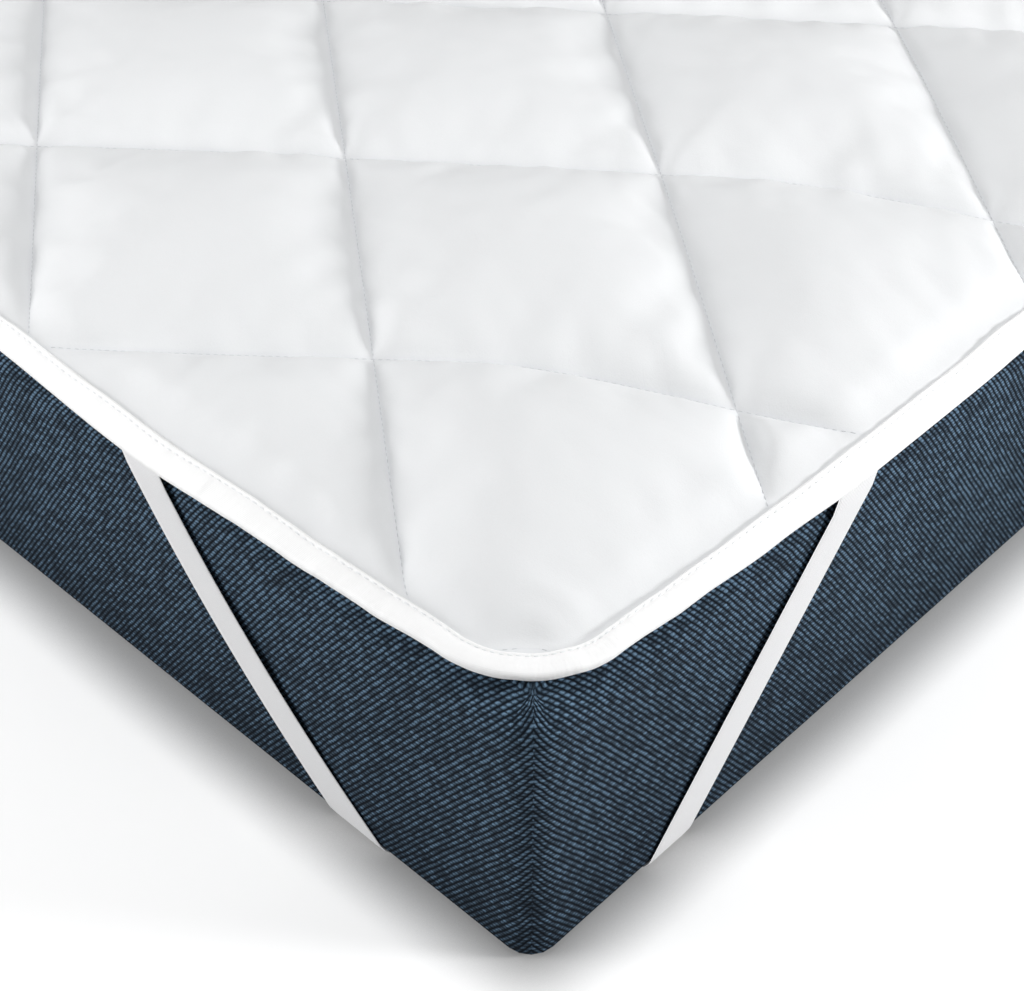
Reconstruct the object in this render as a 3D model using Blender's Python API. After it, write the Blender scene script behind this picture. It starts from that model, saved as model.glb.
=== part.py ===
"""Quilted mattress topper held on a foam mattress by four elastic corner straps.

Metres, +Z up, origin on the floor under the middle. X is the width, Y the length.
"""
import math

import bmesh
import bpy

# Mattress
MATTRESS_WIDTH = 0.900
MATTRESS_LENGTH = 2.000
MATTRESS_HEIGHT = 0.200
MATTRESS_CORNER_R = 0.018
MATTRESS_TOP_R = 0.028
MATTRESS_FOOT_R = 0.006
MATTRESS_LEAST_R = 0.002   # corner radius where an inner ring has no room for more
CORNER_STEPS = 6
EDGE_STEPS = 4

# Topper pad. Its rim is folded down over the mattress's rounded top edge.
PAD_REACH = 0.004          # pad past the mattress side, before folding
PAD_CORNER_R = 0.070
PAD_LIFT = 0.0003          # air between the mattress and the pad
TAPE_LIFT = 0.0020         # further air under the rim, which rests on its binding
TAPE_LIFT_RUN = 0.012
FOLD_LENGTH = 0.027        # width of the rim that folds
FOLD_RADIUS = 0.030
RIM_THICKNESS = 0.004
SEAM_THICKNESS = 0.012     # pad thickness along the quilting, away from the rim
PILLOW_CROWN = 0.027       # height of a diamond above its seams
RIM_RISE = 0.060           # how far in from the binding a diamond reaches full height
SEAM_RISE = 0.200          # how far in the seams reach full thickness
DIAMOND_HALF_WIDTH = 0.1566
DIAMOND_HALF_LENGTH = 0.1244
DIAMOND_X = 0.203          # one crossing of the quilting
DIAMOND_Y = -0.870
DIAMOND_STEPS = 4
CORNER_RING = 0.048        # one more ring of the grid, inside the rounded corner

# Rim of the pad, going away from a corner along a side:
# (distance from the corner, fold angle in degrees, extra reach)
SHORT_SIDE_RIM = (
    (0.066, 5.0, -0.0075),
    (0.115, 10.0, -0.0045),
    (0.180, 16.0, -0.0025),
    (0.294, 28.0, 0.0010),
    (0.450, 25.0, -0.0040),
)
LONG_SIDE_RIM = (
    (0.066, 5.0, -0.0075),
    (0.115, 11.0, -0.0050),
    (0.180, 27.0, -0.0030),
    (0.257, 30.0, 0.0000),
    (0.360, 33.0, 0.0000),
    (0.470, 33.0, -0.0020),
    (0.700, 28.0, -0.0020),
)

# Binding, a tape folded round the rim
BINDING_WIDTH = 0.0145
RIM_SHELL = 0.015          # the pad keeps its rim thickness this far in
TAPE_THICKNESS = 0.001
TAPE_GAP = 0.0003
NOSE_ROUND = 0.0012

# Elastic straps, one under each corner
STRAP_WIDTH = 0.028
STRAP_THICKNESS = 0.0012
STRAP_FLOOR_GAP = 0.0003
STRAP_SIDE_GAP = 0.0007
STRAP_FAN_OUT = 0.0012     # how much further the strap stands off at the top
STRAP_LEG_STEPS = 8
STRAP_ARC_STEPS = 4
STRAP_TUCK = 0.010         # length held under the binding
STRAP_TURN_Z = 0.1800
SHORT_LEG_TOP = 0.300      # distances from the corner, along the side
SHORT_LEG_BEND = (0.2333, 0.0838)
SHORT_LEG_FOOT = 0.131
LONG_LEG_TOP = 0.262
LONG_LEG_FOOT = 0.109
LEG_TOP_Z = 0.194
GROOVE_CLEARANCE = 0.0003
GROOVE_SIDE_CLEARANCE = 0.001
GROOVE_RUNOUT = 0.004

WHITE_FABRIC = (0.86, 0.87, 0.88, 1.0)
WHITE_TAPE = (0.93, 0.93, 0.94, 1.0)
ELASTIC_GREY = (0.76, 0.76, 0.77, 1.0)
NAVY_WEAVE = (0.035, 0.060, 0.105, 1.0)

HALF_X = MATTRESS_WIDTH / 2
HALF_Y = MATTRESS_LENGTH / 2
PAD_X = HALF_X + PAD_REACH
PAD_Y = HALF_Y + PAD_REACH
CORE_X = PAD_X - PAD_CORNER_R
CORE_Y = PAD_Y - PAD_CORNER_R


def clear_scene():
    for old in list(bpy.data.objects):
        bpy.data.objects.remove(old, do_unlink=True)


def fabric(name, colour, roughness):
    mat = bpy.data.materials.new(name)
    mat.use_nodes = True
    shader = mat.node_tree.nodes["Principled BSDF"]
    shader.inputs["Base Color"].default_value = colour
    shader.inputs["Roughness"].default_value = roughness
    mat.diffuse_color = colour
    return mat


def add_object(name, bm, material, collection):
    bmesh.ops.recalc_face_normals(bm, faces=bm.faces)
    mesh = bpy.data.meshes.new(name)
    bm.to_mesh(mesh)
    bm.free()
    obj = bpy.data.objects.new(name, mesh)
    if material is not None:
        mesh.materials.append(material)
    collection.objects.link(obj)
    return obj


def smoothstep(value):
    value = min(1.0, max(0.0, value))
    return value * value * (3.0 - 2.0 * value)


def rim_at(table, distance):
    """Fold angle (radians) and extra reach of the rim at a distance from the corner."""
    low = table[0]
    for high in table[1:]:
        if distance <= high[0]:
            part = smoothstep((distance - low[0]) / (high[0] - low[0]))
            return (math.radians(low[1] + part * (high[1] - low[1])),
                    low[2] + part * (high[2] - low[2]))
        low = high
    return math.radians(low[1]), low[2]


def round_corner(x, y):
    """Carry the square corner of the pad's plan to a round one, ring by ring."""
    over_x = abs(x) - CORE_X
    over_y = abs(y) - CORE_Y
    if over_x <= 0.0 or over_y <= 0.0:
        return x, y
    ring = max(over_x, over_y)
    turn = math.pi / 4 * min(over_x, over_y) / ring
    if over_y > over_x:
        turn = math.pi / 2 - turn
    return (math.copysign(CORE_X + ring * math.cos(turn), x),
            math.copysign(CORE_Y + ring * math.sin(turn), y))


def rim_frame(x, y):
    """Nearest point of the pad's core, outward direction and distance from it."""
    core_x = math.copysign(min(abs(x), CORE_X), x)
    core_y = math.copysign(min(abs(y), CORE_Y), y)
    out = math.hypot(x - core_x, y - core_y)
    if out < 1e-9:
        return core_x, core_y, 0.0, 0.0, 0.0
    return core_x, core_y, (x - core_x) / out, (y - core_y) / out, out


def rim_settings(core_x, core_y):
    if abs(core_y) < CORE_Y:
        return rim_at(LONG_SIDE_RIM, HALF_Y - abs(core_y))
    return rim_at(SHORT_SIDE_RIM, HALF_X - abs(core_x))


def fold_path(length, angle):
    """Outward run, drop and slope after a length along the folded rim."""
    arc = FOLD_RADIUS * angle
    turn = min(length / FOLD_RADIUS, angle)
    rest = max(0.0, length - arc)
    run = FOLD_RADIUS * math.sin(turn) + rest * math.cos(angle)
    drop = FOLD_RADIUS * (1.0 - math.cos(turn)) + rest * math.sin(angle)
    return run, drop, turn


def place(x, y, height, beyond=0.0):
    """A point of the pad: plan position, height above its underside, length past its tip."""
    core_x, core_y, dir_x, dir_y, out = rim_frame(x, y)
    start = PAD_CORNER_R - FOLD_LENGTH
    base = MATTRESS_HEIGHT + PAD_LIFT
    if out <= start:
        return x, y, base + height
    angle, reach = rim_settings(core_x, core_y)
    base += TAPE_LIFT * smoothstep((out - start) / TAPE_LIFT_RUN)
    length = (out - start) * (FOLD_LENGTH + reach) / FOLD_LENGTH + beyond
    run, drop, turn = fold_path(length, angle)
    radius = start + run + height * math.sin(turn)
    return (core_x + dir_x * radius, core_y + dir_y * radius,
            base - drop + height * math.cos(turn))


def pad_height(x, y):
    """Thickness of the quilted pad, with its diamonds closed off at the binding."""
    across = (x - DIAMOND_X) / (2 * DIAMOND_HALF_WIDTH)
    along = (y - DIAMOND_Y) / (2 * DIAMOND_HALF_LENGTH)
    bulge = abs(math.sin(math.pi * (along + across)) * math.sin(math.pi * (along - across)))
    inward = min(PAD_X - abs(x), PAD_Y - abs(y)) - RIM_SHELL
    if inward <= 0.0:
        return RIM_THICKNESS
    seam = RIM_THICKNESS + (SEAM_THICKNESS - RIM_THICKNESS) * smoothstep(inward / SEAM_RISE)
    return seam + PILLOW_CROWN * math.sqrt(bulge * min(1.0, inward / RIM_RISE))


def grid_lines(pad_half, crossing, pitch):
    """Grid positions across the pad: the rings of the rim and the quilting's own steps."""
    insets = (0.0, RIM_SHELL, FOLD_LENGTH, CORNER_RING, PAD_CORNER_R)
    rings = [pad_half - inset for inset in insets]
    inner = pad_half - PAD_CORNER_R - pitch * 0.4
    first = math.ceil((-inner - crossing) / pitch)
    last = math.floor((inner - crossing) / pitch)
    steps = [crossing + pitch * k for k in range(first, last + 1)]
    return [-r for r in rings] + steps + rings[::-1]


def build_topper(material, collection):
    columns = grid_lines(PAD_X, DIAMOND_X, DIAMOND_HALF_WIDTH / DIAMOND_STEPS)
    rows = grid_lines(PAD_Y, DIAMOND_Y, DIAMOND_HALF_LENGTH / DIAMOND_STEPS)
    last_i = len(columns) - 1
    last_j = len(rows) - 1
    bm = bmesh.new()
    top = {}
    under = {}
    for i, x in enumerate(columns):
        for j, y in enumerate(rows):
            plan = round_corner(x, y)
            height = pad_height(x, y)
            top[i, j] = bm.verts.new(place(*plan, height))
            if min(i, j, last_i - i, last_j - j) <= 2:
                under[i, j] = bm.verts.new(place(*plan, 0.0))
    for i in range(last_i):
        for j in range(last_j):
            corners = (top[i, j], top[i + 1, j], top[i + 1, j + 1], top[i, j + 1])
            rising = corners[0].co.z + corners[2].co.z
            falling = corners[1].co.z + corners[3].co.z
            if rising < falling:
                bm.faces.new((corners[0], corners[1], corners[2]))
                bm.faces.new((corners[0], corners[2], corners[3]))
            else:
                bm.faces.new((corners[0], corners[1], corners[3]))
                bm.faces.new((corners[1], corners[2], corners[3]))
            if min(i, j, last_i - 1 - i, last_j - 1 - j) < 2:
                bm.faces.new((under[i, j], under[i, j + 1], under[i + 1, j + 1], under[i + 1, j]))
    inner = ring_keys(last_i, last_j, 2)
    bm.faces.new([under[key] for key in inner])
    outer = ring_keys(last_i, last_j, 0)
    for key, following in zip(outer, outer[1:] + outer[:1]):
        bm.faces.new((under[key], under[following], top[following], top[key]))
    bmesh.ops.triangulate(bm, faces=[f for f in bm.faces if len(f.verts) > 3])
    return add_object("topper", bm, material, collection), columns, rows


def ring_keys(last_i, last_j, inset):
    """Grid keys once round a ring of the pad, counter-clockwise."""
    low, high_i, high_j = inset, last_i - inset, last_j - inset
    keys = [(i, low) for i in range(low, high_i)]
    keys += [(high_i, j) for j in range(low, high_j)]
    keys += [(i, high_j) for i in range(high_i, low, -1)]
    keys += [(low, j) for j in range(high_j, low, -1)]
    return keys


def binding_section(x, y):
    """The folded tape's closed section at a point of the pad's tip."""
    plan_x, plan_y = round_corner(x, y)
    core_x, core_y, dir_x, dir_y, out = rim_frame(plan_x, plan_y)
    lip = out - BINDING_WIDTH
    lip_x, lip_y = core_x + dir_x * lip, core_y + dir_y * lip
    thick = RIM_THICKNESS
    near = TAPE_GAP
    far = TAPE_GAP + TAPE_THICKNESS
    return [
        place(lip_x, lip_y, -near),
        place(plan_x, plan_y, -near, near),
        place(plan_x, plan_y, thick + near, near),
        place(lip_x, lip_y, thick + near),
        place(lip_x, lip_y, thick + far),
        place(plan_x, plan_y, thick + far, near),
        place(plan_x, plan_y, thick / 2, far + NOSE_ROUND),
        place(plan_x, plan_y, -far, near),
        place(lip_x, lip_y, -far),
    ]


def build_binding(columns, rows, material, collection):
    bm = bmesh.new()
    sections = []
    for i, j in ring_keys(len(columns) - 1, len(rows) - 1, 0):
        sections.append([bm.verts.new(p) for p in binding_section(columns[i], rows[j])])
    for one, two in zip(sections, sections[1:] + sections[:1]):
        for k in range(len(one)):
            n = (k + 1) % len(one)
            bm.faces.new((one[k], one[n], two[n], two[k]))
    bmesh.ops.triangulate(bm, faces=bm.faces)
    return add_object("binding", bm, material, collection)


def mattress_ring(inset, level):
    """Points once round the mattress, drawn in from its sides."""
    radius = max(MATTRESS_CORNER_R - inset, MATTRESS_LEAST_R)
    centre_x = HALF_X - inset - radius
    centre_y = HALF_Y - inset - radius
    points = []
    for k, (sign_x, sign_y) in enumerate(((1, -1), (1, 1), (-1, 1), (-1, -1))):
        for j in range(CORNER_STEPS + 1):
            turn = math.pi / 2 * (k - 1 + j / CORNER_STEPS)
            points.append((sign_x * centre_x + radius * math.cos(turn),
                           sign_y * centre_y + radius * math.sin(turn), level))
    return points


def build_mattress(material, collection):
    bm = bmesh.new()
    rings = []
    for centre, radius, sense in ((MATTRESS_FOOT_R, MATTRESS_FOOT_R, -1),
                                  (MATTRESS_HEIGHT - MATTRESS_TOP_R, MATTRESS_TOP_R, 1)):
        for k in range(EDGE_STEPS + 1):
            part = k if sense > 0 else EDGE_STEPS - k
            turn = math.pi / 2 * part / EDGE_STEPS
            points = mattress_ring(radius * (1 - math.cos(turn)),
                                   centre + sense * radius * math.sin(turn))
            rings.append([bm.verts.new(p) for p in points])
    for one, two in zip(rings, rings[1:]):
        for k in range(len(one)):
            n = (k + 1) % len(one)
            bm.faces.new((one[k], one[n], two[n], two[k]))
    bmesh.ops.triangulate(bm, faces=bm.faces)
    bm.faces.new(rings[0][::-1])
    bm.faces.new(rings[-1])
    return add_object("mattress", bm, material, collection)


def foot_profile(side_offset, floor_offset):
    """Quarter of an ellipse round the mattress's foot: (outward, up) from the side plane."""
    points = []
    for k in range(STRAP_ARC_STEPS + 1):
        turn = math.pi / 2 * k / STRAP_ARC_STEPS
        points.append((-MATTRESS_FOOT_R + (MATTRESS_FOOT_R + side_offset) * math.sin(turn),
                       MATTRESS_FOOT_R - (MATTRESS_FOOT_R + floor_offset) * math.cos(turn)))
    return points


def leg_line(side, height):
    """Distance from the corner and slope of a strap's leg at a height on a side."""
    if side == "long":
        rise = LEG_TOP_Z
        spread = LONG_LEG_TOP - LONG_LEG_FOOT
        return LONG_LEG_FOOT + spread * height / rise, spread / rise
    low, high = 0.0, 1.0
    for _ in range(40):
        mid = (low + high) / 2
        level = 2 * (1 - mid) * mid * SHORT_LEG_BEND[1] + mid * mid * LEG_TOP_Z
        if level < height:
            low = mid
        else:
            high = mid
    at = (1 - low) ** 2 * SHORT_LEG_FOOT + 2 * (1 - low) * low * SHORT_LEG_BEND[0]
    at += low * low * SHORT_LEG_TOP
    d_at = 2 * (1 - low) * (SHORT_LEG_BEND[0] - SHORT_LEG_FOOT)
    d_at += 2 * low * (SHORT_LEG_TOP - SHORT_LEG_BEND[0])
    d_up = 2 * (1 - low) * SHORT_LEG_BEND[1] + 2 * low * (LEG_TOP_Z - SHORT_LEG_BEND[1])
    return at, d_at / d_up


def tuck_points(side):
    """Where the strap's middle runs under the binding: (outward, up), tip first."""
    table, anchor = {"short": (SHORT_SIDE_RIM, SHORT_LEG_TOP),
                     "long": (LONG_SIDE_RIM, LONG_LEG_TOP)}[side]
    angle, reach = rim_at(table, anchor)
    below = TAPE_GAP + TAPE_THICKNESS + TAPE_GAP + STRAP_THICKNESS / 2
    points = []
    for back in (0.0, STRAP_TUCK):
        run, drop, turn = fold_path(FOLD_LENGTH + reach - back, angle)
        points.append((PAD_REACH - FOLD_LENGTH + run - below * math.sin(turn),
                       MATTRESS_HEIGHT + PAD_LIFT + TAPE_LIFT - drop
                       - below * math.cos(turn)))
    return points, angle


def strap_rows(side, extra_width, face):
    """Rows across one leg, floor first: (distances from the corner, outward, up).

    face is -1 for the strap's inner face, 1 for its outer one, 0 for the groove's
    inner face and 2 for the outside of the groove's cutter.
    """
    half = STRAP_THICKNESS / 2
    floor_mid = STRAP_FLOOR_GAP + half
    side_mid = STRAP_SIDE_GAP + half
    groove = half + GROOVE_CLEARANCE
    side_offset, floor_offset = {
        -1: (side_mid - half, -floor_mid - half),
        1: (side_mid + half, -floor_mid + half),
        0: (side_mid - groove, -floor_mid - groove),
        2: (STRAP_WIDTH / 4, STRAP_WIDTH / 4),
    }[face]
    section = foot_profile(side_offset, floor_offset)
    heights = [max(0.0, MATTRESS_FOOT_R * (1 - math.cos(math.pi / 2 * k / STRAP_ARC_STEPS)))
               for k in range(STRAP_ARC_STEPS + 1)]
    if face in (0, 2):
        section.append((side_offset, MATTRESS_FOOT_R + GROOVE_RUNOUT))
        heights.append(MATTRESS_FOOT_R + GROOVE_RUNOUT)
    else:
        for k in range(1, STRAP_LEG_STEPS + 1):
            part = k / STRAP_LEG_STEPS
            level = MATTRESS_FOOT_R + (STRAP_TURN_Z - MATTRESS_FOOT_R) * part
            section.append((side_offset + STRAP_FAN_OUT * part, level))
            heights.append(level)
        points, angle = tuck_points(side)
        for out, up in points:
            section.append((out + face * half * math.sin(angle), up + face * half * math.cos(angle)))
            heights.append(up)
    rows = []
    for (out, up), level in zip(section, heights):
        at, slope = leg_line(side, level)
        spread = (STRAP_WIDTH + extra_width) / 2 * math.hypot(1.0, slope)
        rows.append(((at - spread, at + spread), out, up))
    return rows


def ribbon(name, sign_x, sign_y, faces, extra_width, material, collection):
    """A flat band wrapped round one corner of the mattress, as a closed solid."""
    bm = bmesh.new()
    layers = []
    for face in faces:
        rows = []
        for (near, far), out, up in reversed(strap_rows("short", extra_width, face)):
            rows.append([(sign_x * (HALF_X - t), sign_y * (HALF_Y + out), up)
                         for t in (near, far)])
        for (near, far), out, up in strap_rows("long", extra_width, face):
            rows.append([(sign_x * (HALF_X + out), sign_y * (HALF_Y - t), up)
                         for t in (near, far)])
        layers.append([[bm.verts.new(p) for p in row] for row in rows])
    inner, outer = layers
    for k in range(len(inner) - 1):
        bm.faces.new((inner[k][0], inner[k][1], inner[k + 1][1], inner[k + 1][0]))
        bm.faces.new((outer[k][1], outer[k][0], outer[k + 1][0], outer[k + 1][1]))
        for edge in (0, 1):
            bm.faces.new((inner[k][edge], inner[k + 1][edge],
                          outer[k + 1][edge], outer[k][edge]))
    for end in (0, -1):
        bm.faces.new((inner[end][0], outer[end][0], outer[end][1], inner[end][1]))
    bmesh.ops.triangulate(bm, faces=bm.faces)
    return add_object(name, bm, material, collection)


def cut_grooves(mattress, cutters):
    for cutter in cutters:
        cut = mattress.modifiers.new("groove", 'BOOLEAN')
        cut.operation = 'DIFFERENCE'
        cut.solver = 'EXACT'
        cut.object = cutter
        cutter.hide_render = True
        cutter.display_type = 'WIRE'


def main():
    clear_scene()
    parts = bpy.data.collections.new("mattress_topper")
    guides = bpy.data.collections.new("guides")
    bpy.context.scene.collection.children.link(parts)
    bpy.context.scene.collection.children.link(guides)

    topper, columns, rows = build_topper(fabric("topper_fabric", WHITE_FABRIC, 0.8), parts)
    build_binding(columns, rows, fabric("binding_tape", WHITE_TAPE, 0.7), parts)
    mattress = build_mattress(fabric("mattress_cover", NAVY_WEAVE, 0.9), parts)

    elastic = fabric("strap_elastic", ELASTIC_GREY, 0.7)
    corners = (
        ("strap_front_right", 1, -1),
        ("strap_front_left", -1, -1),
        ("strap_back_right", 1, 1),
        ("strap_back_left", -1, 1),
    )
    cutters = []
    for name, sign_x, sign_y in corners:
        ribbon(name, sign_x, sign_y, (-1, 1), 0.0, elastic, parts)
        cutters.append(ribbon("groove_" + name, sign_x, sign_y, (0, 2),
                              2 * GROOVE_SIDE_CLEARANCE, None, guides))
    cut_grooves(mattress, cutters)


main()
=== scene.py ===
"""Looks for a diamond-quilted mattress topper, strapped to a foam mattress."""
import math

import bmesh
import bpy
import numpy as np
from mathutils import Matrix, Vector


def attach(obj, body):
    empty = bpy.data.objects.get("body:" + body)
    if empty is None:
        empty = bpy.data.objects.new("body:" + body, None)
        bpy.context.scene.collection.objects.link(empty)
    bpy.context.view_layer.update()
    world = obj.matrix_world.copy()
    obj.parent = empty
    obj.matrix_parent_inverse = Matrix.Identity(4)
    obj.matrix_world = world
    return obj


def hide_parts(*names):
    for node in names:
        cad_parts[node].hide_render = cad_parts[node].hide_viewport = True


bl_info = {
    "name": "Quilted Mattress Topper",
    "version": (1, 0, 0),
    "blender": (4, 5, 0),
    "location": "3D View > Sidebar > Topper",
    "description": "Builds a strapped, diamond-quilted mattress topper on its mattress",
    "category": "Object",
}

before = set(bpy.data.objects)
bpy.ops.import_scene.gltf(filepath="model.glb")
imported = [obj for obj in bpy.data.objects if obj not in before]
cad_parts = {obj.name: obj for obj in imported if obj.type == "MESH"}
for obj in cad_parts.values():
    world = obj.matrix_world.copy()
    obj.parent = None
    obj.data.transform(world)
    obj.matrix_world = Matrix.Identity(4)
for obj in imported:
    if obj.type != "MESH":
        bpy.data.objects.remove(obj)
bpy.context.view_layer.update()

# The same sizes as the solid model
HALF_X = 0.450
HALF_Y = 1.000
MATTRESS_HEIGHT = 0.200
MATTRESS_CORNER_R = 0.018
MATTRESS_TOP_R = 0.028
MATTRESS_FOOT_R = 0.006
MATTRESS_LEAST_R = 0.002
PAD_X = 0.454
PAD_Y = 1.004
PAD_CORNER_R = 0.070
CORE_X = PAD_X - PAD_CORNER_R
CORE_Y = PAD_Y - PAD_CORNER_R
PAD_LIFT = 0.0003
TAPE_LIFT = 0.0020
TAPE_LIFT_RUN = 0.012
FOLD_LENGTH = 0.027
FOLD_RADIUS = 0.030
RIM_THICKNESS = 0.004
RIM_SHELL = 0.015
SEAM_THICKNESS = 0.012
SEAM_RISE = 0.200
RIM_EASE = 0.024
DIAMOND_HALF_WIDTH = 0.1566
DIAMOND_HALF_LENGTH = 0.1244
DIAMOND_X = 0.203
DIAMOND_Y = -0.870
DRIFT_REACH = 0.215
DRIFT_OUT = 0.030
DRIFT_FORWARD = 0.024
# (distance from the corner, fold angle in degrees, extra reach)
SHORT_SIDE_RIM = np.array((
    (0.066, 5.0, -0.0075),
    (0.115, 10.0, -0.0045),
    (0.180, 16.0, -0.0025),
    (0.294, 28.0, 0.0010),
    (0.450, 25.0, -0.0040),
))
LONG_SIDE_RIM = np.array((
    (0.066, 5.0, -0.0075),
    (0.115, 11.0, -0.0050),
    (0.180, 27.0, -0.0030),
    (0.257, 30.0, 0.0000),
    (0.360, 33.0, 0.0000),
    (0.470, 33.0, -0.0020),
    (0.700, 28.0, -0.0020),
))
BINDING_WIDTH = 0.0145
TAPE_THICKNESS = 0.001
TAPE_GAP = 0.0003
STRAP_WIDTH = 0.028
STRAP_THICKNESS = 0.0012
STRAP_FLOOR_GAP = 0.0003
STRAP_SIDE_GAP = 0.0007
STRAP_FAN_OUT = 0.0012
STRAP_TUCK = 0.010
STRAP_TURN_Z = 0.1800
SHORT_LEG_TOP = 0.300
SHORT_LEG_BEND = (0.2333, 0.0838)
SHORT_LEG_FOOT = 0.131
LONG_LEG_TOP = 0.262
LONG_LEG_FOOT = 0.109
LEG_TOP_Z = 0.194
NOSE_REACH = 0.0016
FOOT_RAISE = 0.0022
PILLOW_CROWN = 0.027

# Mesh steps and edges
MERGE_DISTANCE = 0.0008
TAPE_SPACING = 0.0045
TAPE_STITCH_SPACING = 0.0008
MATTRESS_SPACING = 0.009
NOSE_STEPS = 7
FOOT_STEPS = 8
LEG_STEPS = 22
STRAP_EDGE_ANGLE = 50
MATTRESS_EDGE_ANGLE = 60
# points of the tape's section that swell and stray, from its lip round its nose
TAPE_OUTSIDE = range(2, 18)

# Stitches: how much of each one's pitch shows, and how they sit in the cloth
QUILT_STITCH_SHARE = 0.62
QUILT_STITCH_RISE = 0.1
STITCH_MARGIN = 0.001
TAPE_STITCH_SHARE = 0.66
TAPE_STITCH_INSET = 0.0122
TAPE_STITCH_SINK = 0.0002
# radius of each thread as a share of the thickness that is set
QUILT_THREAD = 0.5
TAPE_THREAD = 0.9
# a step off the cloth, from which the way up is taken
UP_STEP = 0.01

# Where a strap passes below, the cover's lower edge is lifted
LIFT_HALF_WIDTH = 0.85 * STRAP_WIDTH
LIFT_RUN = 0.016
# The twill's place where each side begins, and which way it counts
TWILL_SIDES = ((0.0, 1), (2 * HALF_Y, -1), (2 * (HALF_Y - HALF_X), 1), (2 * HALF_X, -1))

# What is drawn by chance: (seed, number of waves, shortest wave, longest wave)
SWELL_WAVES = (5, 9, 0.014, 0.060)
WANDER_WAVES = (6, 7, 0.030, 0.160)
DENT_WAVES = (21, 8, 0.090, 0.500)
WADDING_SEED = 11
# The loose cloth's height before it is blown up, and how much that is varied
LOOSE_START = 0.003
LOOSE_SPREAD = 0.002
# Cloth settings of the simulated pillows
WADDING = {
    "quality": 5,
    "mass": 0.15,
    "tension_stiffness": 20,
    "compression_stiffness": 20,
    "shear_stiffness": 8,
    "bending_stiffness": 3,
    "air_damping": 2,
    "use_pressure": True,
    "uniform_pressure_force": 8,
    "use_pressure_volume": True,
    "target_volume": 0,
    "pressure_factor": 1,
    "vertex_group_mass": "sewn",
}

# Camera, lamps and floor
CAMERA_LENS = 72.74
CAMERA_DOWN = 42.79
CAMERA_TURN = 43.68
CAMERA_PLACE = (0.888, -1.474, 0.947)
FLOOR_RADIUS = 12.0
FLOOR_TONE = 0.93
# distances from the middle between which the floor's glow grows
FLOOR_GLOW_REACH = (1.6, 5.0)
SKY_TONE = 0.97
# (name, place, aim, width, setting that holds its power)
LAMPS = (
    ("top_lamp", (0.18, -0.73, 3.2), (0.18, -0.73, 0.2), 0.60, "key"),
    ("left_lamp", (-0.85, -2.40, 0.58), (0.0, -0.9, 0.15), 1.1, "left"),
    ("back_lamp", (-2.4, 2.6, 1.5), (-0.2, 0.4, 0.15), 1.5, "back"),
    ("right_lamp", (1.95, 0.30, 0.58), (0.45, -0.5, 0.15), 0.45, "right"),
)
CORNERS = (
    ("front_right", 1, -1),
    ("front_left", -1, -1),
    ("back_right", 1, 1),
    ("back_left", -1, 1),
)


# ---------------------------------------------------------------- shape of the pad

def smoothstep(value):
    value = np.clip(value, 0.0, 1.0)
    return value * value * (3.0 - 2.0 * value)


def rim_lookup(table, distance):
    """Fold angle and extra reach of the rim at distances from the corner."""
    distance = np.clip(distance, table[0, 0], table[-1, 0] - 1e-9)
    low = np.searchsorted(table[:, 0], distance, side="right") - 1
    high = low + 1
    part = smoothstep((distance - table[low, 0]) / (table[high, 0] - table[low, 0]))
    angle = table[low, 1] + part * (table[high, 1] - table[low, 1])
    reach = table[low, 2] + part * (table[high, 2] - table[low, 2])
    return np.radians(angle), reach


def rim_frame(plan):
    """Core point, outward direction and distance out of plan positions (n x 2)."""
    core = np.stack((np.clip(plan[:, 0], -CORE_X, CORE_X), np.clip(plan[:, 1], -CORE_Y, CORE_Y)), 1)
    away = plan - core
    out = np.linalg.norm(away, axis=1)
    return core, away / np.maximum(out, 1e-9)[:, None], out


def rim_settings(core):
    on_long = np.abs(core[:, 1]) < CORE_Y
    long_angle, long_reach = rim_lookup(LONG_SIDE_RIM, HALF_Y - np.abs(core[:, 1]))
    short_angle, short_reach = rim_lookup(SHORT_SIDE_RIM, HALF_X - np.abs(core[:, 0]))
    return np.where(on_long, long_angle, short_angle), np.where(on_long, long_reach, short_reach)


def fold_path(length, angle):
    """How far out and down a length along the folded rim ends, and its turn there."""
    turn = np.minimum(length / FOLD_RADIUS, angle)
    rest = np.maximum(0.0, length - FOLD_RADIUS * angle)
    run = FOLD_RADIUS * np.sin(turn) + rest * np.cos(angle)
    drop = FOLD_RADIUS * (1.0 - np.cos(turn)) + rest * np.sin(angle)
    return run, drop, turn


def place(plan, height, beyond=0.0):
    """Lay points of the flat pad over the mattress and fold its rim down."""
    core, away, out = rim_frame(plan)
    angle, reach = rim_settings(core)
    start = PAD_CORNER_R - FOLD_LENGTH
    length = (out - start) * (FOLD_LENGTH + reach) / FOLD_LENGTH + beyond
    run, drop, turn = fold_path(np.where(out > start, length, 0.0), angle)
    radius = np.where(out > start, start + run + height * np.sin(turn), out)
    spot = core + away * radius[:, None]
    lift = TAPE_LIFT * smoothstep((out - start) / TAPE_LIFT_RUN)
    up = MATTRESS_HEIGHT + PAD_LIFT + lift - drop + height * np.cos(turn)
    return np.column_stack((spot, up))


def round_corner(plan):
    """Carry the square corners of a plan to round ones, ring by ring."""
    over = np.abs(plan) - np.array((CORE_X, CORE_Y))
    ring = over.max(axis=1)
    turn = math.pi / 4 * over.min(axis=1) / np.maximum(ring, 1e-9)
    turn = np.where(over[:, 1] > over[:, 0], math.pi / 2 - turn, turn)
    moved = np.column_stack((CORE_X + ring * np.cos(turn), CORE_Y + ring * np.sin(turn)))
    moved = np.copysign(moved, plan)
    return np.where((over.min(axis=1) > 0.0)[:, None], moved, plan)


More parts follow.
